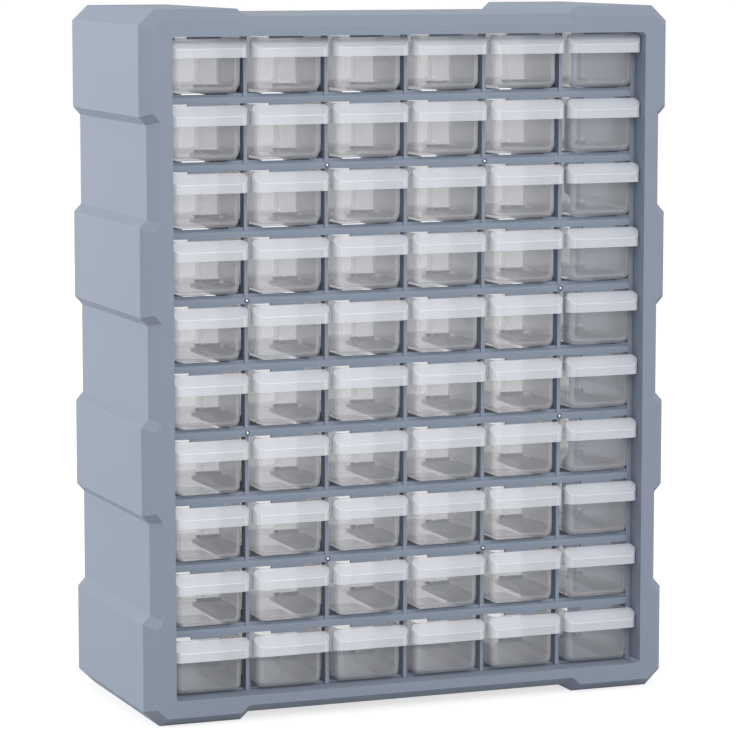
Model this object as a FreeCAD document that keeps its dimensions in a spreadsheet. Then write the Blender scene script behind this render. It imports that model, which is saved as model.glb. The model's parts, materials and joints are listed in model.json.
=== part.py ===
import FreeCAD, Part
import os
import re
import Sketcher

# Driving dimensions in millimetres, with the counts of rows and columns

SIZES = {
    "width": 380,
    "depth": 160,
    "height": 475,
    "side_border": 20,
    "end_border": 18,
    "wall": 2.5,
    "corner_across": 11,
    "corner_up": 10.5,
    "bevel_inset": 6.5,
    "bevel_depth": 10.4,
    "waist_inset": 5,
    "waist_step": 5.5,
    "waist_length": 61.5,
    "middle_lobe": 59,
    "end_inset": 5,
    "end_step": 5.5,
    "end_lobe": 68,
    "columns": 6,
    "rows": 10,
    "grid_recess": 15.5,
    "bar_height": 4.7,
    "bar_depth": 6,
    "bead": 1.2,
    "ledge_setback": 3,
    "ledge_rise": 1.2,
    "tab_width": 23.5,
    "tab_drop": 2,
    "tab_depth": 2,
    "post_width": 2.4,
    "post_depth": 8,
    "post_setback": 1.5,
    "end_post_width": 3.2,
    "fit_gap": 0.1,
    "runner_reach": 12,
    "runner_thickness": 2.6,
    "drawer_lift": 1.9,
    "floor_lift": 0.9,
    "web_width": 2.4,
    "guide_gap": 0.3,
    "guide_width": 1.2,
    "guide_rise": 3.8,
    "guide_length": 48,
    "stop_reach": 9,
    "stop_height": 2.5,
    "stop_depth": 2,
    "screw_head_radius": 1.7,
    "screw_head_height": 0.8,
    "screw_shank_radius": 0.7,
    "screw_length": 6,
    "drawer_recess": 11,
    "drawer_width": 46.4,
    "drawer_length": 85,
    "drawer_wall": 1.3,
    "drawer_floor": 1.6,
    "drawer_corner": 6,
    "seat_gap": 0.3,
    "top_gap": 0.9,
    "hood_gap": 0.3,
    "hood_reach": 7.5,
    "hood_slope": 7.1,
    "hood_height": 13,
    "hood_corner": 6.5,
    "hood_shoulder": 3.8,
    "overrun": 5,
}

# Screws of the grid: how many rows lie above each one, and how many columns to its left

SCREW_PLACES = ((2, 2), (2, 4), (4, 1), (4, 5), (6, 1), (6, 5), (8, 2), (8, 4))

# Lengths that follow from the driving dimensions

FORMULAS = {
    "front": "-depth / 2",
    "opening_width": "width - 2 * side_border",
    "opening_height": "height - 2 * end_border",
    "opening_top": "height - end_border",
    "column_clear": "(opening_width - (columns - 1) * post_width) / columns",
    "column_pitch": "column_clear + post_width",
    "row_clear": "(opening_height - (rows - 1) * bar_height) / rows",
    "row_pitch": "row_clear + bar_height",
    "return_depth": "grid_recess + bar_depth",
    "post_start": "grid_recess + post_setback",
    "post_end": "post_start + post_depth",
    "drawer_end": "drawer_recess + drawer_length",
    "runner_end": "drawer_end + seat_gap + stop_depth",
    "drawer_height": "row_clear - drawer_lift - seat_gap - top_gap",
    "hood_width": "column_clear - 2 * hood_gap",
    "hood_skin_drop": "drawer_wall / cos(atan(hood_slope / hood_reach))",
}

doc = FreeCAD.newDocument("parts_bin_cabinet")
sheet = doc.addObject("Spreadsheet::Sheet", "Sizes")
for line, (name, size) in enumerate(SIZES.items(), 1):
    sheet.set(f"A{line}", name)
    sheet.set(f"B{line}", str(size))
    sheet.setAlias(f"B{line}", name)
doc.recompute()


def spelled_out(text):
    """Write a formula out in cells of the sheet."""
    def in_cells(match):
        word = match.group()
        if word in FORMULAS:
            return f"({spelled_out(FORMULAS[word])})"
        if word in SIZES:
            return f"Sizes.{word}"
        return word
    return re.sub(r"[a-z_]+", in_cells, text)


def measure(text):
    """Value of a formula in millimetres, or a plain number."""
    result = sheet.evalExpression(spelled_out(text))
    return getattr(result, "Value", result)


def bind(thing, **formulas):
    """Tie properties of an object to formulas."""
    for prop, text in formulas.items():
        thing.setExpression(prop, spelled_out(text))


def move(thing, x="0", y="0", z="0"):
    """Tie an object's place to formulas."""
    for axis, text in zip("xyz", (x, y, z)):
        thing.setExpression(f"Placement.Base.{axis}", spelled_out(text))


def name_piece(thing, label):
    """Give a sub-part the label that names its file."""
    thing.Label = label
    pieces.append(thing)


pieces = []


# Building blocks

def block(name, x, y, z):
    """A box between two formulas along each axis."""
    box = doc.addObject("Part::Box", name)
    for prop, (low, high) in zip(("Length", "Width", "Height"), (x, y, z)):
        bind(box, **{prop: f"{high} - ({low})"})
    move(box, x[0], y[0], z[0])
    return box


def rod(name, radius, length, x, y, z):
    """A cylinder that starts at a place and runs back along Y."""
    cylinder = doc.addObject("Part::Cylinder", name)
    bind(cylinder, Radius=radius, Height=length)
    cylinder.Placement.Rotation = FreeCAD.Rotation(FreeCAD.Vector(1, 0, 0), -90)
    move(cylinder, x, y, z)
    return cylinder


def fuse(name, shapes):
    """Join shapes to one solid."""
    joined = doc.addObject("Part::MultiFuse", name)
    joined.Shapes = shapes
    joined.Refine = True
    return joined


def group(name, shapes):
    """Hold separate solids in one object."""
    held = doc.addObject("Part::Compound", name)
    held.Links = shapes
    return held


def cut(name, base, tool):
    """Take one shape away from another."""
    difference = doc.addObject("Part::Cut", name)
    difference.Base = base
    difference.Tool = tool
    return difference


def copy_of(master, name, x="0", y="0", z="0"):
    """A body that repeats another piece at its own place."""
    body = doc.addObject("PartDesign::Body", name)
    base = doc.addObject("PartDesign::FeatureBase", f"{name}_base")
    body.Group = [base]
    base.BaseFeature = master
    body.Tip = base
    move(body, x, y, z)
    return body


def sketch_on(body, name, role, offset, outlines):
    """A sketch parallel to an origin plane, with closed outlines tied point by point to formulas.

    A point of two formulas starts a line. One with a third, its centre across, starts a quarter arc.
    """
    sketch = body.newObject("Sketcher::SketchObject", name)
    plane = [feature for feature in body.Origin.OriginFeatures if feature.Role == role][0]
    sketch.AttachmentSupport = (plane, [""])
    sketch.MapMode = "FlatFace"
    sketch.setExpression("AttachmentOffset.Base.z", spelled_out(offset))

    def tie(kind, line, end, text):
        """Hold one coordinate of a point at a formula."""
        rule = sketch.addConstraint(Sketcher.Constraint(kind, -1, 1, line, end, measure(text)))
        sketch.setExpression(f"Constraints[{rule}]", spelled_out(text))

    for outline in outlines:
        first = sketch.GeometryCount
        points = [FreeCAD.Vector(measure(corner[0]), measure(corner[1]), 0) for corner in outline]
        for start, end, corner in zip(points, points[1:] + points[:1], outline):
            stretch = Part.LineSegment(start, end)
            if len(corner) > 2:
                stretch = quarter_arc(start, end, measure(corner[2]))
            sketch.addGeometry(stretch, False)
        for number, corner in enumerate(outline):
            line = first + number
            following = first + (number + 1) % len(outline)
            sketch.addConstraint(Sketcher.Constraint("Coincident", line, 2, following, 1))
            tie("DistanceX", line, 1, corner[0])
            tie("DistanceY", line, 1, corner[1])
            if len(corner) > 2:
                tie("DistanceX", line, 3, corner[2])
    return sketch


def quarter_arc(start, end, across):
    """Quarter of a circle, counter-clockwise, whose centre lies at a given place across."""
    height = end.y if abs(start.x - across) < abs(end.x - across) else start.y
    middle = FreeCAD.Vector(across, height, 0)
    circle = Part.Circle(middle, FreeCAD.Vector(0, 0, 1), start.distanceToPoint(middle))
    return Part.ArcOfCircle(circle, circle.parameter(start), circle.parameter(end))


def rectangle(x, y):
    """Four corners between two formulas along each axis."""
    return [(x[0], y[0]), (x[1], y[0]), (x[1], y[1]), (x[0], y[1])]


def pad(body, name, profile, length, **settings):
    """Add a sketch's outline, drawn out by a length."""
    feature = body.newObject("PartDesign::Pad", name)
    feature.Profile = profile
    bind(feature, Length=length)
    for prop, value in settings.items():
        setattr(feature, prop, value)
    return feature


def pocket(body, name, profile, length, **settings):
    """Cut a sketch's outline, drawn out by a length."""
    feature = body.newObject("PartDesign::Pocket", name)
    feature.Profile = profile
    bind(feature, Length=length)
    for prop, value in settings.items():
        setattr(feature, prop, value)
    return feature


def loft(body, name, kind, start, finish):
    """Join two outlines with flat faces."""
    feature = body.newObject(kind, name)
    feature.Profile = start
    feature.Sections = [finish]
    feature.Ruled = True
    return feature


def combine(body, name, kind, other):
    """Join another body to this one, or cut it away."""
    feature = body.newObject("PartDesign::Boolean", name)
    feature.Type = kind
    feature.setObjects([other])
    return feature


def u_outline(half, low, high, radius):
    """Outline with two rounded lower corners, counter-clockwise from its upper left."""
    inner = f"{half} - ({radius})"
    return [
        (f"-({half})", high),
        (f"-({half})", f"{low} + {radius}", f"-({inner})"),
        (f"-({inner})", low),
        (inner, low, inner),
        (half, f"{low} + {radius}"),
        (half, high),
    ]


# Casing

def crenellated_outline(inset):
    """Outline of the casing seen from the front, drawn in by an inset all round."""
    side = f"width / 2 - ({inset})"
    waist = f"width / 2 - waist_inset - ({inset})"
    top = f"height / 2 - ({inset})"
    dip = f"height / 2 - end_inset - ({inset})"
    side_shift = f"({inset}) * tan(atan(waist_inset / waist_step) / 2)"
    end_shift = f"({inset}) * tan(atan(end_inset / end_step) / 2)"
    corner_low = f"({inset}) * tan(atan(corner_across / corner_up) / 2)"
    corner_high = f"({inset}) * tan(atan(corner_up / corner_across) / 2)"
    low_lobe = "waist_length / 2 + waist_step"
    high_waist = f"{low_lobe} + middle_lobe + waist_step"
    high_lobe = f"{high_waist} + waist_length + waist_step"
    quarter = [
        (waist, f"waist_length / 2 + {side_shift}"),
        (side, f"{low_lobe} + {side_shift}"),
        (side, f"{low_lobe} + middle_lobe - {side_shift}"),
        (waist, f"{high_waist} - {side_shift}"),
        (waist, f"{high_waist} + waist_length + {side_shift}"),
        (side, f"{high_lobe} + {side_shift}"),
        (side, f"height / 2 - corner_up - {corner_low}"),
        (f"width / 2 - corner_across - {corner_high}", top),
        (f"width / 2 - end_lobe + {end_shift}", top),
        (f"width / 2 - end_lobe - end_step + {end_shift}", dip),
    ]
    outline = []
    for x_sign, z_sign in (("", ""), ("-", ""), ("-", "-"), ("", "-")):
        corner = [(f"{x_sign}({x})", f"height / 2 + {z_sign}({z})") for x, z in quarter]
        outline += corner if x_sign == z_sign else corner[::-1]
    return outline


def make_casing():
    """Shell with its bevelled border, the return walls round the opening and the tabs over the top row."""
    body = doc.addObject("PartDesign::Body", "casing")
    plane = "XZ_Plane"
    border = sketch_on(body, "border_outline", plane, "depth / 2", [crenellated_outline("bevel_inset")])
    rim = sketch_on(body, "rim_outline", plane, "depth / 2 - bevel_depth", [crenellated_outline("0")])
    loft(body, "bevel", "PartDesign::AdditiveLoft", border, rim)
    pad(body, "shell", rim, "depth - bevel_depth", Reversed=True)
    hollow_front = sketch_on(
        body, "hollow_front", plane, "depth / 2 - wall", [crenellated_outline("bevel_inset + wall")])
    hollow_rim = sketch_on(
        body, "hollow_rim", plane, "depth / 2 - bevel_depth - wall", [crenellated_outline("wall")])
    loft(body, "hollow_bevel", "PartDesign::SubtractiveLoft", hollow_front, hollow_rim)
    pocket(body, "hollow", hollow_rim, "depth")
    opening = rectangle(
        ("-(opening_width / 2)", "opening_width / 2"), ("end_border", "opening_top"))
    outside = rectangle(
        ("-(opening_width / 2) - wall", "opening_width / 2 + wall"),
        ("end_border - wall", "opening_top + wall"))
    returns = sketch_on(body, "return_outlines", plane, "depth / 2", [outside, opening])
    pad(body, "return_walls", returns, "return_depth", Reversed=True)
    mouth = sketch_on(body, "opening_outline", plane, "depth / 2", [opening])
    pocket(body, "opening", mouth, "return_depth")
    first_tab = "-(opening_width / 2) + column_clear / 2"
    tab_outline = rectangle(
        (f"{first_tab} - tab_width / 2", f"{first_tab} + tab_width / 2"),
        ("opening_top - tab_drop", "opening_top"))
    tab_sketch = sketch_on(body, "tab_outline", plane, "depth / 2 - grid_recess", [tab_outline])
    tab = pad(body, "tab", tab_sketch, "tab_depth", Reversed=True)
    tabs = body.newObject("PartDesign::LinearPattern", "tabs")
    tabs.Originals = [tab]
    tabs.Direction = (tab_sketch, ["H_Axis"])
    bind(tabs, Length="(columns - 1) * column_pitch", Occurrences="columns")
    body.Tip = tabs
    name_piece(body, "casing")


# Grid: shelves with their runners, posts and screws

def divider_line(number):
    """Where a line between columns stands: the first and last are the opening's sides."""
    if number == 0:
        return "(-(opening_width / 2))"
    if number == columns:
        return "(opening_width / 2)"
    return f"(({number} - columns / 2) * column_pitch)"


def column_middle(number):
    """Middle of a column, counted from zero at the left."""
    return f"({number} + 1 / 2 - columns / 2) * column_pitch"


def across_line(number, reach):
    """Span of a piece that reaches to both sides of a divider line, or inward at the ends."""
    line = divider_line(number)
    low = line if number == 0 else f"{line} - {reach}"
    high = line if number == columns else f"{line} + {reach}"
    return low, high


def shelf_top(rows_above):
    """Height of the top edge of the shelf front under so many rows."""
    return f"opening_top - {rows_above} * row_pitch + bar_height"


def runners(prefix, lift):
    """Runners along the divider lines, up to a height over the shelf.

    Each has a web under it and a stop at its rear. A guide stands on it beside every drawer.
    """
    made = []
    under = f"{lift} - runner_thickness"
    for number in range(columns + 1):
        web_reach = "web_width" if number in (0, columns) else "web_width / 2"
        made.append(block(
            f"{prefix}_runner_{number}", across_line(number, "runner_reach"),
            ("front + return_depth - bar_depth / 2", "front + runner_end"), (under, lift)))
        made.append(block(
            f"{prefix}_web_{number}", across_line(number, web_reach),
            ("front + post_end", "front + runner_end"), ("-bar_height", lift)))
        made.append(block(
            f"{prefix}_stop_{number}", across_line(number, "stop_reach"),
            ("front + runner_end - stop_depth", "front + runner_end"), (under, f"{lift} + stop_height")))
    for number in range(columns):
        middle = column_middle(number)
        near = "drawer_width / 2 + guide_gap"
        far = f"{near} + guide_width"
        for side, across in (("left", (f"{middle} - ({far})", f"{middle} - ({near})")),
                             ("right", (f"{middle} + {near}", f"{middle} + {far}"))):
            made.append(block(
                f"{prefix}_guide_{side}_{number}", across,
                ("front + post_end", "front + post_end + guide_length"),
                (under, f"{lift} + guide_rise")))
    return made


def post_slots(prefix):
    """Slots in which the posts stand."""
    made = []
    for number in range(columns + 1):
        ends = number in (0, columns)
        reach = "end_post_width + fit_gap" if ends else "post_width / 2 + fit_gap"
        low, high = across_line(number, reach)
        if number == 0:
            low = f"{low} - overrun"
        if number == columns:
            high = f"{high} + overrun"
        made.append(block(
            f"{prefix}_slot_{number}", (low, high),
            ("front + post_start", "front + post_end + fit_gap"),
            ("-bar_height - overrun", "bar_height + overrun")))
    return made


def make_shelf():
    """One shelf: front bar with bead, ledge and tabs, and the runners behind it, level at its top edge."""
    bar = doc.addObject("PartDesign::Body", "bar")
    face = "front + grid_recess"
    back = "front + return_depth"
    step = f"{face} + ledge_setback"
    section = [(face, "-bar_height"), (back, "-bar_height"), (back, "ledge_rise"), (step, "ledge_rise"),
               (step, "0"), (f"{face} + bead", "0"), (face, "-bead")]
    pad(bar, "bar_length", sketch_on(bar, "bar_section", "YZ_Plane", "0", [section]),
        "opening_width - 2 * end_post_width", Midplane=True)
    tabs = []
    for number in range(columns):
        middle = column_middle(number)
        tabs.append(block(
            f"shelf_tab_{number}", (f"{middle} - tab_width / 2", f"{middle} + tab_width / 2"),
            ("front + grid_recess", "front + grid_recess + tab_depth"),
            ("-bar_height - tab_drop", "-bar_height")))
    solid = fuse("shelf_solid", [bar] + tabs + runners("shelf", "drawer_lift"))
    return cut("shelf", solid, fuse("shelf_slots", post_slots("shelf")))


def make_floor_shelf():
    """The runners of the bottom row, on a bar behind the opening's floor."""
    bar = block("floor_bar", ("-(opening_width / 2)", "opening_width / 2"),
                ("front + return_depth", "front + return_depth + bar_depth"),
                ("-bar_height", "floor_lift"))
    solid = fuse("floor_solid", [bar] + runners("floor", "floor_lift"))
    clear_front = block("clear_front", ("-width / 2", "width / 2"),
                        ("front", "front + return_depth"), ("-bar_height - overrun", "overrun"))
    slots = fuse("floor_slots", post_slots("floor") + [clear_front])
    return cut("floor_shelf", solid, slots)


def screw_holes(name):
    """Holes for the shanks of the screws."""
    return group(name, [
        rod(f"{name}_{rows_above}_{columns_left}", "screw_shank_radius + fit_gap",
            "screw_length + fit_gap", divider_line(columns_left), "front + grid_recess",
            f"{shelf_top(rows_above)} - bar_height / 2")
        for rows_above, columns_left in SCREW_PLACES])


def make_shelves():
    """All shelves, one under each row."""
    shelf = make_shelf()
    levels = [copy_of(shelf, f"shelf_{rows_above}", z=shelf_top(rows_above))
              for rows_above in range(1, rows)]
    levels.append(copy_of(make_floor_shelf(), "shelf_floor", z="end_border"))
    name_piece(cut("shelves", group("shelf_levels", levels), screw_holes("shelf_holes")), "shelves")


def make_posts():
    """Posts between the columns and at the opening's sides."""
    posts = []
    for number in range(columns + 1):
        ends = number in (0, columns)
        posts.append(block(
            f"post_{number}", across_line(number, "end_post_width" if ends else "post_width / 2"),
            ("front + post_start", "front + post_end"), ("end_border", "opening_top")))
    name_piece(cut("divider_posts", group("post_row", posts), screw_holes("post_holes")), "divider_posts")


def make_screws():
    """Screws that hold the shelf fronts to the posts."""
    screws = []
    for rows_above, columns_left in SCREW_PLACES:
        name = f"screw_{rows_above}_{columns_left}"
        x = divider_line(columns_left)
        z = f"{shelf_top(rows_above)} - bar_height / 2"
        head = rod(f"{name}_head", "screw_head_radius", "screw_head_height", x,
                   "front + grid_recess - screw_head_height", z)
        shank = rod(f"{name}_shank", "screw_shank_radius", "screw_length", x, "front + grid_recess", z)
        screws.append(fuse(name, [head, shank]))
    name_piece(group("grid_screws", screws), "grid_screws")


# Drawers

def hood_block(name, half, reach, back, radius, shoulder, low, drop):
    """A block with rounded front corners and shoulders and a top that slopes down to the front."""
    body = doc.addObject("PartDesign::Body", name)
    plan = u_outline(half, f"-({reach})", back, radius)
    pad(body, f"{name}_upright", sketch_on(body, f"{name}_plan", "XY_Plane", low, [plan]),
        f"drawer_height - ({low})")
    ridge = f"drawer_height - ({drop})"
    inner = f"{half} - ({shoulder})"
    right = [
        (half, f"{ridge} - ({shoulder})", inner),
        (inner, ridge),
        (inner, f"{ridge} + overrun"),
        (f"{half} + overrun", f"{ridge} + overrun"),
        (f"{half} + overrun", f"{ridge} - ({shoulder})"),
    ]
    left = [
        (f"-({inner})", ridge, f"-({inner})"),
        (f"-({half})", f"{ridge} - ({shoulder})"),
        (f"-({half} + overrun)", f"{ridge} - ({shoulder})"),
        (f"-({half} + overrun)", f"{ridge} + overrun"),
        (f"-({inner})", f"{ridge} + overrun"),
    ]
    pocket(body, f"{name}_shoulders", sketch_on(body, f"{name}_corners", "XZ_Plane", "0", [left, right]),
           "depth", Midplane=True)
    above = [
        ("0", ridge),
        ("0", "drawer_height + overrun"),
        ("-hood_reach - overrun", "drawer_height + overrun"),
        ("-hood_reach - overrun", f"{ridge} - hood_slope * (hood_reach + overrun) / hood_reach"),
    ]
    pocket(body, f"{name}_slope", sketch_on(body, f"{name}_above", "YZ_Plane", "0", [above]),
           "width", Midplane=True)
    return body


def make_drawer():
    """One drawer: a tub with a sloping hood in front. Its origin is under the face of its front wall."""
    body = doc.addObject("PartDesign::Body", "drawer")
    outside = u_outline("drawer_width / 2", "0", "drawer_height", "drawer_corner")
    pad(body, "tub", sketch_on(body, "tub_outline", "XZ_Plane", "0", [outside]),
        "drawer_length", Reversed=True)
    inside = u_outline("drawer_width / 2 - drawer_wall", "drawer_floor", "drawer_height + overrun",
                       "(drawer_corner - drawer_wall)")
    pocket(body, "tub_hollow", sketch_on(body, "hollow_outline", "XZ_Plane", "-drawer_wall", [inside]),
           "drawer_length - 2 * drawer_wall")
    hood = hood_block("hood", "hood_width / 2", "hood_reach", "drawer_wall", "hood_corner",
                      "hood_shoulder", "drawer_height - hood_height", "0")
    combine(body, "hood_joined", "Fuse", hood)
    grip = hood_block("grip", "hood_width / 2 - drawer_wall", "hood_reach - drawer_wall", "0",
                      "(hood_corner - drawer_wall)", "(hood_shoulder - drawer_wall)",
                      "drawer_height - hood_height - overrun", "hood_skin_drop")
    combine(body, "grip_hollow", "Cut", grip)
    return body


def make_drawers():
    """Drawers row by row. Those of the bottom row share two nodes, three to each."""
    master = make_drawer()
    for row in range(1, rows + 1):
        level = f"{shelf_top(row)} + drawer_lift" if row < rows else "end_border + floor_lift"
        row_made = []
        for column in range(1, columns + 1):
            name = f"drawer_r{row:02d}_c{column}"
            drawer = copy_of(master, name, column_middle(column - 1), "front + drawer_recess",
                             f"{level} + seat_gap")
            row_made.append(drawer)
            if row < rows:
                name_piece(drawer, name)
    middle = columns // 2
    name_piece(group("bottom_left", row_made[:middle]), f"drawers_r{rows:02d}_left")
    name_piece(group("bottom_right", row_made[middle:]), f"drawers_r{rows:02d}_right")


columns = round(measure("columns"))
rows = round(measure("rows"))
make_casing()
make_shelves()
make_posts()
make_screws()
make_drawers()
doc.recompute()

for thing in doc.Objects:
    broken = {"Invalid", "Error"} & set(thing.State)
    if broken:
        raise RuntimeError(f"{thing.Label} is {thing.State}")
for piece in pieces:
    if piece.Shape.isNull() or not piece.Shape.isValid():
        raise RuntimeError(f"{piece.Label} has no valid shape")

os.makedirs("parts", exist_ok=True)
for piece in pieces:
    piece.Shape.exportStep(f"parts/{piece.Label}.step")
    box = piece.Shape.BoundBox
    print(f"{piece.Label}: {len(piece.Shape.Solids)} solids, {piece.Shape.Volume:.0f} mm3, "
          f"{box.XLength:.2f} x {box.YLength:.2f} x {box.ZLength:.2f} mm")
print(f"drawer travel: {measure('drawer_end - drawer_wall - grid_recess - tab_depth'):.2f} mm to its tab")
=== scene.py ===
# %% [markdown]
# # A cabinet of small drawers
#
# The object is a moulded plastic cabinet with sixty small clear drawers. Everything is in metres.
# The cabinet stands on the plane z = 0, and its front faces -Y.

# %% Load the fixed frame
import json
import math

import bmesh
import bpy
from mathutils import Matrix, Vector

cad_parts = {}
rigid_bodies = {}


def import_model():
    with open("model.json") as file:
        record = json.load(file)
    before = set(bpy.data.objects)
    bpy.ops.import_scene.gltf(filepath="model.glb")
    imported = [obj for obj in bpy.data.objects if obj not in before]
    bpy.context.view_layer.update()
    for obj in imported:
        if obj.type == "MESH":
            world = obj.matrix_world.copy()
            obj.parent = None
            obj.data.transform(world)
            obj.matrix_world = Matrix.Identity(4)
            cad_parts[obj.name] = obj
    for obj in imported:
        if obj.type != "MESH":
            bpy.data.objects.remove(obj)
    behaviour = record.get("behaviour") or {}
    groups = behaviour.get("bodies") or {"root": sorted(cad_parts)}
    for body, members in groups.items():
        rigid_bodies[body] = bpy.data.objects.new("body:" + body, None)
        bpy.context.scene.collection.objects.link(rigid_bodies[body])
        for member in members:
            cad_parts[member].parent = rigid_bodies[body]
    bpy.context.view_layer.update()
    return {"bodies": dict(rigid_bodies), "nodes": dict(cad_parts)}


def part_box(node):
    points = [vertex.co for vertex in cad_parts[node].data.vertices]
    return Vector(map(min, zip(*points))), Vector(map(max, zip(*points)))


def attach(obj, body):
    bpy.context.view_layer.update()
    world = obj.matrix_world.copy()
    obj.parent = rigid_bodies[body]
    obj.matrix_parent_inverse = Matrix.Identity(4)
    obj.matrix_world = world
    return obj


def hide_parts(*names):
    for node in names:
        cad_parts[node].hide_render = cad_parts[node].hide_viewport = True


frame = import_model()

MM = 0.001
SAME = 1e-6

# %% [markdown]
# ## Helpers for meshes
#
# A bmesh is Blender's editable mesh in code. Each piece starts as one, is shaped with the same
# operators that the editor has, and becomes an object at the origin, so that patterns on Object
# coordinates stay where they are. Coordinates that differ by less than SAME count as equal.
#
# Moulded plastic has no sharp edges: every corner of the mould is a little round, and that narrow band
# catches the light. The helper below bevels the edges, and marks the new faces with a number called
# "edge", which the finishes read later to paint a highlight on these bands.

# %% Bevel edges and mark the new faces
def round_edges(shape, edges, radius, segments=2):
    """Bevel some edges, and mark the faces that this makes."""
    mark = shape.faces.layers.float.get("edge") or shape.faces.layers.float.new("edge")
    made = bmesh.ops.bevel(shape, geom=edges, offset=radius, offset_type="OFFSET", affect="EDGES",
                           segments=segments, profile=0.5, material=-1, clamp_overlap=True)
    for face in made["faces"]:
        face[mark] = 1.0


def sharp_edges(shape, degrees, shortest=0.0):
    """Edges where two faces meet at more than an angle."""
    return [edge for edge in shape.edges
            if len(edge.link_faces) == 2 and edge.calc_face_angle(0) > math.radians(degrees)
            and edge.calc_length() > shortest]


# %% Turn a bmesh into an object
def make_object(name, shape, material, smooth_angle=math.radians(50)):
    """Write a bmesh to a new object. Large faces set the shading of the bands between them."""
    for face in shape.faces:
        face.smooth = True
    for edge in shape.edges:
        edge.smooth = len(edge.link_faces) != 2 or edge.calc_face_angle(0) < smooth_angle
    mesh = bpy.data.meshes.new(name)
    shape.to_mesh(mesh)
    shape.free()
    mesh.materials.append(material)
    piece = bpy.data.objects.new(name, mesh)
    bpy.context.scene.collection.objects.link(piece)
    shading = piece.modifiers.new("even shading", "WEIGHTED_NORMAL")
    shading.keep_sharp = True
    return piece


# %% Copy a construction piece
FLAT = math.radians(0.5)


def merged_copy(node):
    """A copy of a construction mesh, with its doubles merged and its flat faces joined."""
    shape = bmesh.new()
    shape.from_mesh(frame["nodes"][node].data)
    bmesh.ops.remove_doubles(shape, verts=shape.verts, dist=0.02 * MM)
    bmesh.ops.dissolve_limit(shape, angle_limit=FLAT, verts=shape.verts, edges=shape.edges)
    return shape


# %% [markdown]
# ## Helpers for finishes
#
# A finish is a small tree of nodes. Each one here starts from the Principled shader, and noise on
# Object coordinates varies it a little, because no moulding has one even colour and gloss.

# %% Node helpers
def new_material(name):
    """A material with its tree and its Principled shader."""
    material = bpy.data.materials.new(name)
    material.use_nodes = True
    return material, material.node_tree, material.node_tree.nodes["Principled BSDF"]


def add_node(tree, kind, settings=(), **inputs):
    """Add a node. Each input is a number, a colour or the output that feeds it."""
    node = tree.nodes.new(kind)
    for key, value in dict(settings).items():
        setattr(node, key, value)
    for key, value in inputs.items():
        socket = node.inputs[key.replace("_", " ")]
        if isinstance(value, bpy.types.NodeSocket):
            tree.links.new(value, socket)
        else:
            socket.default_value = value
    return node


def spread(tree, value, low, high):
    """Map a value from 0 ... 1 to another range."""
    return add_node(tree, "ShaderNodeMapRange", Value=value, To_Min=low, To_Max=high).outputs["Result"]


def combine(tree, operation, *values):
    """Arithmetic on outputs and numbers, held between 0 and 1."""
    node = tree.nodes.new("ShaderNodeMath")
    node.operation = operation
    node.use_clamp = True
    for socket, value in zip(node.inputs, values):
        if isinstance(value, bpy.types.NodeSocket):
            tree.links.new(value, socket)
        else:
            socket.default_value = value
    return node.outputs["Value"]


# %% [markdown]
# ## Cabinet plastic
#
# The shell and the grid are blue-grey polystyrene with a fine satin grain from the mould. The colour
# drifts slowly by a few percent, and the grain gives roughness and a faint bump. The rounded edges get a
# painted highlight: their colour is painted lighter, and they are also made a little glossier.

# %% Cabinet plastic
def cabinet_plastic():
    material, tree, shader = new_material("cabinet_plastic")
    shader.inputs["Specular IOR Level"].default_value = 0.3
    place = add_node(tree, "ShaderNodeTexCoord").outputs["Object"]
    cloud = add_node(tree, "ShaderNodeTexNoise", Vector=place, Scale=7.0, Detail=3.0)
    grain = add_node(tree, "ShaderNodeTexNoise", Vector=place, Scale=1500.0, Detail=2.0)
    edge_highlight_mask = add_node(tree, "ShaderNodeAttribute", {"attribute_name": "edge"}).outputs["Fac"]
    tint = add_node(tree, "ShaderNodeMix", {"data_type": "RGBA"}, Factor=cloud.outputs["Fac"])
    tint.inputs["A"].default_value = (0.262, 0.304, 0.380, 1)
    tint.inputs["B"].default_value = (0.280, 0.322, 0.400, 1)
    # Painted highlight: the rounded edges are coloured lighter, in place of the light they catch.
    edge_highlight_tint = add_node(tree, "ShaderNodeMix", {"data_type": "RGBA"},
                         Factor=combine(tree, "MULTIPLY", edge_highlight_mask, 0.8))
    tree.links.new(tint.outputs["Result"], edge_highlight_tint.inputs["A"])
    edge_highlight_tint.inputs["B"].default_value = (0.46, 0.50, 0.58, 1)
    rough = combine(tree, "SUBTRACT", spread(tree, grain.outputs["Fac"], 0.58, 0.72),
                    combine(tree, "MULTIPLY", edge_highlight_mask, 0.25))
    bump = add_node(tree, "ShaderNodeBump", Height=grain.outputs["Fac"], Strength=0.10, Distance=0.0001)
    tree.links.new(edge_highlight_tint.outputs["Result"], shader.inputs["Base Color"])
    tree.links.new(rough, shader.inputs["Roughness"])
    tree.links.new(bump.outputs["Normal"], shader.inputs["Normal"])
    return material


cabinet_finish = cabinet_plastic()
print("finish:", cabinet_finish.name)
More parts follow.
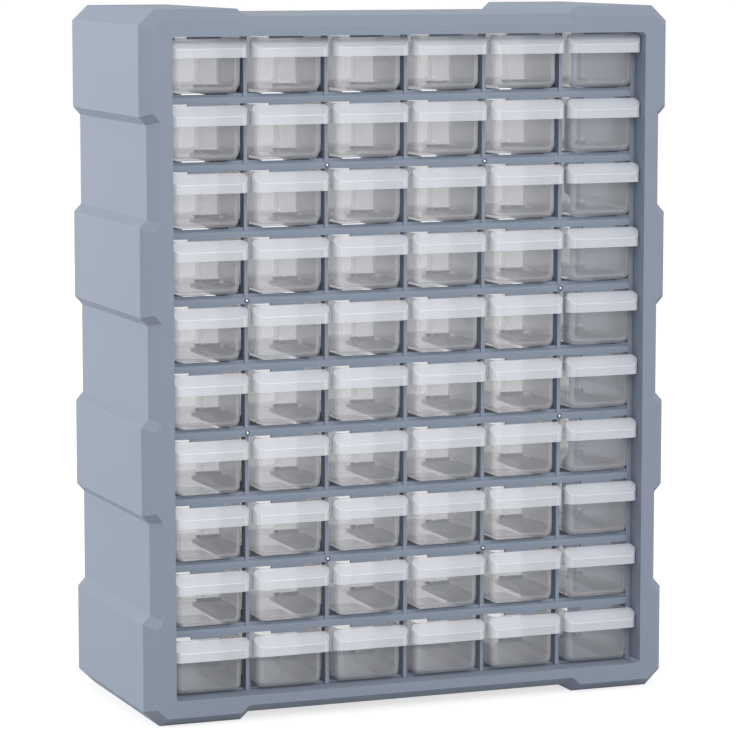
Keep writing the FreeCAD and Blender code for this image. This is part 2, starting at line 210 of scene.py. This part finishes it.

# %% [markdown]
# ## Drawer plastic
#
# The drawers are thin clear polypropylene with a little milk in it. Real glass shaders need many
# samples for walls this thin, so the finish mixes two: a Transparent part that lets the straight view
# through, and a Principled part that is the milk. Layer Weight raises the milk where a wall is seen
# along its surface, and stretched noise gives the flow of the moulding. Two numbers on the faces steer
# the rest: "hood" marks the hood, which gets painted light: it is made whiter, bluer and milkier than
# the tub, for the brighter light it takes. "edge" marks the rounded edges, which get a painted highlight
# and look whitest.

# %% Drawer plastic
def drawer_plastic():
    material, tree, shader = new_material("drawer_plastic")
    shader.inputs["Specular IOR Level"].default_value = 1.0
    place = add_node(tree, "ShaderNodeTexCoord").outputs["Object"]
    stretched = add_node(tree, "ShaderNodeMapping", Vector=place, Scale=(70, 300, 260))
    flow = add_node(tree, "ShaderNodeTexNoise", Vector=stretched.outputs["Vector"], Scale=1.0, Detail=2.0)
    edge_highlight_mask = add_node(tree, "ShaderNodeAttribute", {"attribute_name": "edge"}).outputs["Fac"]
    hood_painted_lighter = add_node(tree, "ShaderNodeAttribute", {"attribute_name": "hood"}).outputs["Fac"]
    # Painted light: the hood's colour is whiter and bluer than the tub's, for the brighter light it takes.
    colour = add_node(tree, "ShaderNodeMix", {"data_type": "RGBA"}, Factor=hood_painted_lighter)
    colour.inputs["A"].default_value = (0.49, 0.50, 0.53, 1)
    colour.inputs["B"].default_value = (0.90, 0.93, 1.0, 1)
    # Painted highlight: the rounded edges are coloured near white, in place of glints.
    edge_highlight_colour = add_node(tree, "ShaderNodeMix", {"data_type": "RGBA"}, Factor=edge_highlight_mask)
    tree.links.new(colour.outputs["Result"], edge_highlight_colour.inputs["A"])
    edge_highlight_colour.inputs["B"].default_value = (0.97, 0.975, 0.99, 1)
    tree.links.new(edge_highlight_colour.outputs["Result"], shader.inputs["Base Color"])
    facing = add_node(tree, "ShaderNodeLayerWeight", Blend=0.35).outputs["Facing"]
    milk = spread(tree, facing, 0.155, 0.52)
    milk = combine(tree, "ADD", milk, combine(tree, "MULTIPLY", flow.outputs["Fac"], 0.04))
    milk = combine(tree, "ADD", milk, combine(tree, "MULTIPLY", hood_painted_lighter, 0.25))
    milk = combine(tree, "ADD", milk, combine(tree, "MULTIPLY", edge_highlight_mask, 0.36))
    tree.links.new(spread(tree, flow.outputs["Fac"], 0.14, 0.24), shader.inputs["Roughness"])
    clear = add_node(tree, "ShaderNodeBsdfTransparent", Color=(0.99, 0.99, 0.992, 1))
    both = add_node(tree, "ShaderNodeMixShader", Fac=milk)
    tree.links.new(clear.outputs["BSDF"], both.inputs[1])
    tree.links.new(shader.outputs["BSDF"], both.inputs[2])
    tree.links.new(both.outputs["Shader"], tree.nodes["Material Output"].inputs["Surface"])
    return material


drawer_finish = drawer_plastic()
print("finish:", drawer_finish.name)

# %% [markdown]
# ## Screw metal
#
# The heads are bright metal in the middle. The ring around it is painted dark, a painted shade for the
# hollow round the dome. The same "edge" number that marks the bevels marks the ring on the screws.

# %% Screw metal
def screw_metal():
    material, tree, shader = new_material("screw_metal")
    shader.inputs["Metallic"].default_value = 1.0
    place = add_node(tree, "ShaderNodeTexCoord").outputs["Object"]
    scuffs = add_node(tree, "ShaderNodeTexNoise", Vector=place, Scale=900.0, Detail=3.0)
    shade_ring = add_node(tree, "ShaderNodeAttribute", {"attribute_name": "edge"}).outputs["Fac"]
    # Painted shade: the ring round the dome is coloured near black.
    tint = add_node(tree, "ShaderNodeMix", {"data_type": "RGBA"}, Factor=shade_ring)
    tint.inputs["A"].default_value = (0.90, 0.90, 0.91, 1)
    tint.inputs["B"].default_value = (0.14, 0.15, 0.17, 1)
    tree.links.new(tint.outputs["Result"], shader.inputs["Base Color"])
    tree.links.new(spread(tree, scuffs.outputs["Fac"], 0.14, 0.30), shader.inputs["Roughness"])
    return material


screw_finish = screw_metal()
print("finish:", screw_finish.name)

# %% [markdown]
# ## Shell
#
# The shell is one large moulding: crenellated walls, a bevelled border and return walls that lead into
# the opening. Its flat faces are already right, so a copy of the construction mesh is merged and only
# its edges are worked: first the four edges in the corners of the opening, which the mould rounds most,
# then every other edge. Where several bevels meet, a vertex can end a hair in front of the border, so
# the front is held at the plane that the construction gives.

# %% Edges in the corners of the opening
TOUCHING = 0.05 * MM


def opening_corners(shape, low, high, recess):
    """The four edges that run back from the front in the corners of the opening."""
    found = []
    for edge in shape.edges:
        first, second = (vert.co for vert in edge.verts)
        at_side = abs(abs(first.x) - high.x) < TOUCHING and abs(first.x - second.x) < TOUCHING
        at_end = min(abs(first.z - low.z), abs(first.z - high.z)) < TOUCHING
        level = abs(first.z - second.z) < TOUCHING
        if at_side and at_end and level and abs(first.y - second.y) > recess:
            found.append(edge)
    return found


# %% Shell
SHELL_CORNER, SHELL_EDGE, SHORTEST_RETURN = 1.8 * MM, 0.8 * MM, 10 * MM
side_border, end_border = 20 * MM, 18 * MM
casing_low, casing_high = (Vector(corner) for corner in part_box("casing"))
opening_low = Vector((casing_low.x + side_border, 0, casing_low.z + end_border))
opening_high = Vector((casing_high.x - side_border, 0, casing_high.z - end_border))
casing_shape = merged_copy("casing")
corners = opening_corners(casing_shape, opening_low, opening_high, SHORTEST_RETURN)
print("corners of the opening:", len(corners))
round_edges(casing_shape, corners, SHELL_CORNER, segments=4)
round_edges(casing_shape, sharp_edges(casing_shape, 30), SHELL_EDGE, segments=3)
for vert in casing_shape.verts:
    vert.co.y = max(vert.co.y, casing_low.y)
print("faces of the shell:", len(casing_shape.faces))
casing = make_object("casing_moulded", casing_shape, cabinet_finish)
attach(casing, "cabinet")
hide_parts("casing")

# %% [markdown]
# ## Grid
#
# The shelf fronts, with the runners behind them, and the posts between the columns make the grid. They
# are thin, so their edges get a smaller radius. The short edges round the screw holes are left sharp,
# because the screws cover them.

# %% Grid
GRID_EDGE, SHORTEST_EDGE = 0.3 * MM, 0.7 * MM
for node in ("shelves", "divider_posts"):
    grid_shape = merged_copy(node)
    round_edges(grid_shape, sharp_edges(grid_shape, 30, SHORTEST_EDGE), GRID_EDGE)
    print("faces of", node, len(grid_shape.faces))
    grid_piece = make_object(f"{node}_moulded", grid_shape, cabinet_finish)
    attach(grid_piece, "cabinet")
    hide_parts(node)

# %% [markdown]
# ## Screws
#
# Each screw is a round head with a small dome in a ring, on a thin shank. A profile of a few vertices,
# spun once round the axis, makes it. The construction node holds eight of them, and the middle of each
# is found from the groups of vertices that hang together.

# %% Find the middle of every screw
def separate_groups(shape):
    """Groups of vertices joined by edges."""
    left = set(shape.verts)
    while left:
        group, reach = set(), [left.pop()]
        while reach:
            vert = reach.pop()
            group.add(vert)
            for edge in vert.link_edges:
                other = edge.other_vert(vert)
                if other in left:
                    left.discard(other)
                    reach.append(other)
        yield group


screw_source = merged_copy("grid_screws")
screw_places = []
for group in separate_groups(screw_source):
    xs, ys, zs = zip(*(vert.co for vert in group))
    screw_places.append(Vector(((min(xs) + max(xs)) / 2, min(ys), (min(zs) + max(zs)) / 2)))
screw_source.free()
screw_places.sort(key=lambda place: (round(place.z, 4), round(place.x, 4)))
print("screws:", len(screw_places))

# %% [markdown]
# The profile gives the radius and the depth behind the front of the head, both in millimetres. It runs
# from the dome in the middle over the ring to the end of the shank.

# %% Spin the screws
SCREW_PROFILE = ((0, 0), (0.35, 0.02), (0.65, 0.1), (0.85, 0.25), (0.9, 0.5), (1.05, 0.5), (1.15, 0.15),
                 (1.5, 0.15), (1.7, 0.35), (1.7, 0.8), (0.7, 0.8), (0.7, 6.8), (0, 6.8))
BRIGHT_RADIUS = 0.9 * MM
screw_shape = bmesh.new()
shade_ring_mark = screw_shape.faces.layers.float.new("edge")
for place in screw_places:
    line = [screw_shape.verts.new(place + Vector((radius, back, 0)) * MM) for radius, back in SCREW_PROFILE]
    path = [screw_shape.edges.new(pair) for pair in zip(line, line[1:])]
    bmesh.ops.spin(screw_shape, geom=line + path, cent=place, axis=(0, 1, 0), angle=2 * math.pi,
                   steps=20, use_merge=True)
bmesh.ops.remove_doubles(screw_shape, verts=screw_shape.verts, dist=0.001 * MM)
bmesh.ops.recalc_face_normals(screw_shape, faces=screw_shape.faces)
# Faces outside BRIGHT_RADIUS form the ring that the finish paints dark as painted shade.
for face in screw_shape.faces:
    middle = face.calc_center_median()
    nearest = min(screw_places, key=lambda place: (place.x - middle.x) ** 2 + (place.z - middle.z) ** 2)
    reach = math.hypot(middle.x - nearest.x, middle.z - nearest.z)
    face[shade_ring_mark] = 1.0 if reach > BRIGHT_RADIUS else 0.0
print("faces of the screws:", len(screw_shape.faces))
screws = make_object("screws_turned", screw_shape, screw_finish, math.radians(60))
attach(screws, "cabinet")
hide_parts("grid_screws")

# %% [markdown]
# ## One drawer
#
# A drawer is a tub with rounded corners and lower edges, and a hollow hood that slopes down to a lip
# for the fingertips. It could be cut from one block face by face, but it is easier to read as four
# simple solids: the tub and its hollow, the hood and the grip under it. Each is a cube that bevels and
# one slanted cut bring to its shape, and the Boolean modifier joins them.

# %% Sizes of a drawer
drawer_low, drawer_high = (Vector(corner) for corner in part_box("drawer_r01_c1"))
hood_width = drawer_high.x - drawer_low.x
drawer_height = drawer_high.z - drawer_low.z
hood_reach = 7.5 * MM
tub_length = drawer_high.y - drawer_low.y - hood_reach
tub_width = 46.4 * MM
wall, floor_wall = 1.3 * MM, 1.6 * MM
hood_drop, hood_height = 7.1 * MM, 13 * MM
tub_corner = 5.5 * MM
hood_corner, hood_shoulder, hood_bend = 6.5 * MM, 3.8 * MM, 1.2 * MM
grip_corner, grip_shoulder, grip_bend = 5.2 * MM, 2.5 * MM, 0.6 * MM
overrun = 5 * MM
print("drawer in mm:", [round(size / MM, 2) for size in (hood_width, tub_length, drawer_height)])

# %% [markdown]
# A bevel needs a list of edges. On a plain cube they are easy to name: the edges that run along one
# axis, and of those only the ones at a given coordinate.

# %% Cubes between two corners
def cube_between(low, high):
    """A cube stretched between two corners."""
    shape = bmesh.new()
    bmesh.ops.create_cube(shape, size=1)
    low, high = Vector(low), Vector(high)
    bmesh.ops.scale(shape, vec=high - low, verts=shape.verts)
    bmesh.ops.translate(shape, vec=(low + high) / 2, verts=shape.verts)
    return shape


def edges_along(shape, axis, **held):
    """Edges that run along one axis and lie at given coordinates on others."""
    others = [name for name in "xyz" if name != axis]
    return [edge for edge in shape.edges
            if all(abs(getattr(edge.verts[0].co, name) - getattr(edge.verts[1].co, name)) < SAME
                   for name in others)
            and all(abs(getattr(edge.verts[0].co, name) - value) < SAME for name, value in held.items())]


# %% [markdown]
# The Boolean modifier adds one solid to another, takes it away or keeps what both share. Its result is
# read from the evaluated object, so that the next step starts from a plain mesh.

# %% Join solids with the Boolean modifier
def loose_object(name, shape):
    """An object without a finish, for work in between."""
    mesh = bpy.data.meshes.new(name)
    shape.to_mesh(mesh)
    shape.free()
    piece = bpy.data.objects.new(name, mesh)
    bpy.context.scene.collection.objects.link(piece)
    return piece


def boolean(base, tool, operation):
    """Apply one solid to another, and throw the second away."""
    step = base.modifiers.new("step", "BOOLEAN")
    step.operation = operation
    step.object = tool
    step.solver = "EXACT"
    result = bpy.data.meshes.new_from_object(base.evaluated_get(bpy.context.evaluated_depsgraph_get()))
    base.modifiers.clear()
    base.data = result
    bpy.data.objects.remove(tool)


# %% [markdown]
# The tub's block gets one radius on its upright and lower edges. The hood's block is cut three times: a
# bevel for the front corners, a gable with round shoulders that it shares its top with, and a slanted
# plane for the slope, whose rim is then bevelled too.

# %% Tub and hood blocks
def tub_block(half, low, high, front, back, radius):
    """A block with round upright edges and round lower edges."""
    shape = cube_between((-half, front, low), (half, back, high))
    lower = edges_along(shape, "y", z=low) + edges_along(shape, "x", z=low)
    round_edges(shape, edges_along(shape, "z") + lower, radius, segments=6)
    return loose_object("tub block", shape)


def hood_block(half, reach, back, low, high, corner, shoulder, bend):
    """A block with round front corners and shoulders and a top that slopes to the front."""
    shape = cube_between((-half, -reach, low), (half, back, high))
    round_edges(shape, edges_along(shape, "z", y=-reach), corner, segments=7)
    block = loose_object("hood block", shape)
    gable = cube_between((-half, -2 * reach, low - overrun), (half, 2 * reach, high))
    round_edges(gable, edges_along(gable, "y", z=high), shoulder, segments=5)
    boolean(block, loose_object("gable", gable), "INTERSECT")
    shape = bmesh.new()
    shape.from_mesh(block.data)
    slant = Vector((0, -hood_drop, hood_reach)).normalized()
    cut = bmesh.ops.bisect_plane(shape, geom=shape.verts[:] + shape.edges[:] + shape.faces[:], dist=SAME,
                                 plane_co=(0, 0, high), plane_no=slant, clear_outer=True)
    rim = [item for item in cut["geom_cut"] if isinstance(item, bmesh.types.BMEdge)]
    bmesh.ops.contextual_create(shape, geom=rim)
    bmesh.ops.remove_doubles(shape, verts=shape.verts, dist=0.005 * MM)
    bmesh.ops.dissolve_limit(shape, angle_limit=FLAT, verts=shape.verts, edges=shape.edges)
    bmesh.ops.recalc_face_normals(shape, faces=shape.faces)
    slope = max((face for face in shape.faces if face.normal.dot(slant) > 0.999),
                key=lambda face: face.calc_area())
    round_edges(shape, list(slope.edges), bend, segments=4)
    shape.to_mesh(block.data)
    shape.free()
    return block


# %% [markdown]
# Now the four solids make the drawer. The skin is the wall of the hood measured straight down through
# its slope, which is a little more than the wall itself.

# %% Put the drawer together
drawer = tub_block(tub_width / 2, 0, drawer_height, 0, tub_length, tub_corner)
tub_hollow = tub_block(tub_width / 2 - wall, floor_wall, drawer_height + overrun, wall, tub_length - wall,
                       tub_corner - wall)
boolean(drawer, tub_hollow, "DIFFERENCE")
hood = hood_block(hood_width / 2, hood_reach, wall, drawer_height - hood_height, drawer_height,
                  hood_corner, hood_shoulder, hood_bend)
boolean(drawer, hood, "UNION")
skin = wall * math.hypot(hood_drop, hood_reach) / hood_reach
grip = hood_block(hood_width / 2 - wall, hood_reach - wall, 0, drawer_height - hood_height - overrun,
                  drawer_height - skin, grip_corner, grip_shoulder, grip_bend)
boolean(drawer, grip, "DIFFERENCE")

# %% [markdown]
# The rims get a very small radius and the full mark of painted highlight. The bend of the hood gets
# nearly as much, and the wide round corners of the tub get a little: a painted highlight where clear
# plastic would catch light as it curves. A narrow face counts as curved when it looks along no axis,
# and the bend is where the hood looks forward and somewhat upward.

# %% Round the rims of the drawer
BEND_HIGHLIGHT, CORNER_HIGHLIGHT = 0.9, 0.3
RIM_EDGE, WIDEST_STRIP, HOOD_STARTS = 0.35 * MM, 60 * MM * MM, -0.2 * MM
ALONG_AXIS, BEND_LOW, BEND_HIGH, BEND_FORWARD = 0.985, 0.15, 0.66, -0.5
drawer_shape = bmesh.new()
drawer_shape.from_mesh(drawer.data)
bpy.data.objects.remove(drawer)
bmesh.ops.remove_doubles(drawer_shape, verts=drawer_shape.verts, dist=0.002 * MM)
bmesh.ops.dissolve_limit(drawer_shape, angle_limit=FLAT, verts=drawer_shape.verts,
                         edges=drawer_shape.edges)
drawer_highlight_mark = drawer_shape.faces.layers.float.get("edge") or drawer_shape.faces.layers.float.new("edge")
for face in drawer_shape.faces:
    face[drawer_highlight_mark] = 0.0
round_edges(drawer_shape, sharp_edges(drawer_shape, 32), RIM_EDGE)
hood_mark = drawer_shape.faces.layers.float.new("hood")
for face in drawer_shape.faces:
    face[hood_mark] = 1.0 if face.calc_center_median().y < HOOD_STARTS else 0.0
    curved = max(abs(part) for part in face.normal) < ALONG_AXIS and face.calc_area() < WIDEST_STRIP
    on_bend = BEND_LOW < face.normal.z < BEND_HIGH and face.normal.y < BEND_FORWARD
    # Curved faces get a painted highlight: strong on the bend of the hood, faint on the corners.
    if curved and face[drawer_highlight_mark] == 0:
        face[drawer_highlight_mark] = BEND_HIGHLIGHT if face[hood_mark] and on_bend else CORNER_HIGHLIGHT
print("faces of a drawer:", len(drawer_shape.faces),
      "open edges:", sum(not edge.is_manifold for edge in drawer_shape.edges),
      "cm3 of plastic:", round(drawer_shape.calc_volume() * 1e6, 2))
drawer_mesh = bpy.data.meshes.new("one drawer")
drawer_shape.to_mesh(drawer_mesh)
drawer_shape.free()

# %% [markdown]
# ## Sixty drawers
#
# All the drawers come from one mould, so the finished mesh is copied to every place. The bottom row's
# drawers stand three to a body: there the copies are a column apart.

# %% Place the drawers
def drawer_places(node):
    """Points under the face of the front wall of every drawer in a node."""
    low, high = (Vector(corner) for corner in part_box(node))
    count = 1 if high.x - low.x < 2 * hood_width else 3
    pitch = (high.x - low.x - hood_width) / max(count - 1, 1)
    return [Vector((low.x + hood_width / 2 + number * pitch, low.y + hood_reach, low.z))
            for number in range(count)]


placed = 0
for body in frame["bodies"]:
    if body == "cabinet":
        continue
    shape = bmesh.new()
    for place in drawer_places(body):
        before = len(shape.verts)
        shape.from_mesh(drawer_mesh)
        shape.verts.ensure_lookup_table()
        bmesh.ops.translate(shape, vec=place, verts=shape.verts[before:])
        placed += 1
    piece = make_object(f"{body}_clear", shape, drawer_finish)
    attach(piece, body)
    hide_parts(body)
print("drawers placed:", placed)

# %% [markdown]
# ## Floor and background
#
# The cabinet stands on a plain pale floor in a white room. The floor keeps its shadow, so its colour is
# a middle grey that takes light, and a glow that only the camera and reflections see lifts it to white.
# The world works in the same way: it looks white, and lights the cabinet with less.

# %% Floor
FLOOR_SIZE, FLOOR_GLOW = 40, 0.69


def seen_directly(tree):
    """One for rays from the camera, from reflections and through clear parts, else zero."""
    paths = add_node(tree, "ShaderNodeLightPath")
    glossy = combine(tree, "MAXIMUM", paths.outputs["Is Camera Ray"], paths.outputs["Is Glossy Ray"])
    return combine(tree, "MAXIMUM", glossy, paths.outputs["Is Transmission Ray"])


floor_shape = bmesh.new()
bmesh.ops.create_grid(floor_shape, x_segments=1, y_segments=1, size=FLOOR_SIZE)
floor_material, floor_tree, floor_shader = new_material("pale_floor")
floor_shader.inputs["Base Color"].default_value = (0.5, 0.5, 0.5, 1)
floor_shader.inputs["Roughness"].default_value = 0.8
floor_shader.inputs["Specular IOR Level"].default_value = 0.0
floor_shader.inputs["Emission Color"].default_value = (1, 1, 1, 1)
floor_tree.links.new(spread(floor_tree, seen_directly(floor_tree), 0.0, FLOOR_GLOW),
                     floor_shader.inputs["Emission Strength"])
floor = make_object("floor", floor_shape, floor_material)

# %% World
AMBIENT = 0.64
world = bpy.data.worlds.new("studio")
bpy.context.scene.world = world
world.use_nodes = True
sky = world.node_tree.nodes["Background"]
sky.inputs["Color"].default_value = (1, 1, 1, 1)
world.node_tree.links.new(spread(world.node_tree, seen_directly(world.node_tree), AMBIENT, 1.0),
                          sky.inputs["Strength"])
print("ambient light:", AMBIENT)

# %% [markdown]
# ## Lamps
#
# In the photograph the side wall is the brightest part of the shell, but the bevel beside it and the
# walls inside the opening are darker. So the strongest lamp stands on the left and behind. A broad one
# in front, higher than the camera, lights the hoods and the shelves. Two small weak ones in front are
# there for their reflections, which lie along the bends and corners of the hoods.

# %% Lamps
def soft_lamp(name, place, target, size, power):
    """Add a round soft lamp that points at a target."""
    lamp = bpy.data.lights.new(name, "AREA")
    lamp.shape = "DISK"
    lamp.size = size
    lamp.energy = power
    holder = bpy.data.objects.new(name, lamp)
    holder.location = place
    holder.rotation_euler = (Vector(target) - Vector(place)).to_track_quat("-Z", "Y").to_euler()
    bpy.context.scene.collection.objects.link(holder)


MIDDLE = (0, 0, 0.24)
for name, place, size, power in (
        ("side lamp", (-2.6, 2.3, 1.0), 1.3, 78),
        ("front lamp", (0.1, -2.1, 1.4), 1.2, 15),
        ("corner lamp", (-1.0, -2.3, 0.75), 0.25, 4),
        ("bend lamp", (0.71, -1.81, 1.62), 0.3, 5)):
    soft_lamp(name, place, MIDDLE, size, power)
    print(name, place, power, "W")

# %% [markdown]
# ## Camera
#
# The photograph was taken from the left and slightly above, with a long lens. The place, the turn and
# the lens come from matching the corners of the shell and the grid with the photograph. The picture's
# width and the focal length are in pixels, the angles in degrees.

# %% Camera
PICTURE_WIDTH, FOCAL_LENGTH = 736, 3451.3
EYE_PLACE, LOOKING_DOWN, TURN = (-0.8682, -2.2166, 0.5221), 7.135, -21.33
camera = bpy.data.cameras.new("camera")
camera.sensor_width = 36
camera.lens = FOCAL_LENGTH / PICTURE_WIDTH * camera.sensor_width
eye = bpy.data.objects.new("camera", camera)
eye.location = EYE_PLACE
eye.rotation_euler = (math.radians(90 - LOOKING_DOWN), 0, math.radians(TURN))
bpy.context.scene.collection.objects.link(eye)
bpy.context.scene.camera = eye
print("lens in mm:", round(camera.lens, 1))

# %% [markdown]
# ## View
#
# The Standard view transform keeps the whites of the photograph.

# %% View
bpy.context.scene.view_settings.view_transform = "Standard"
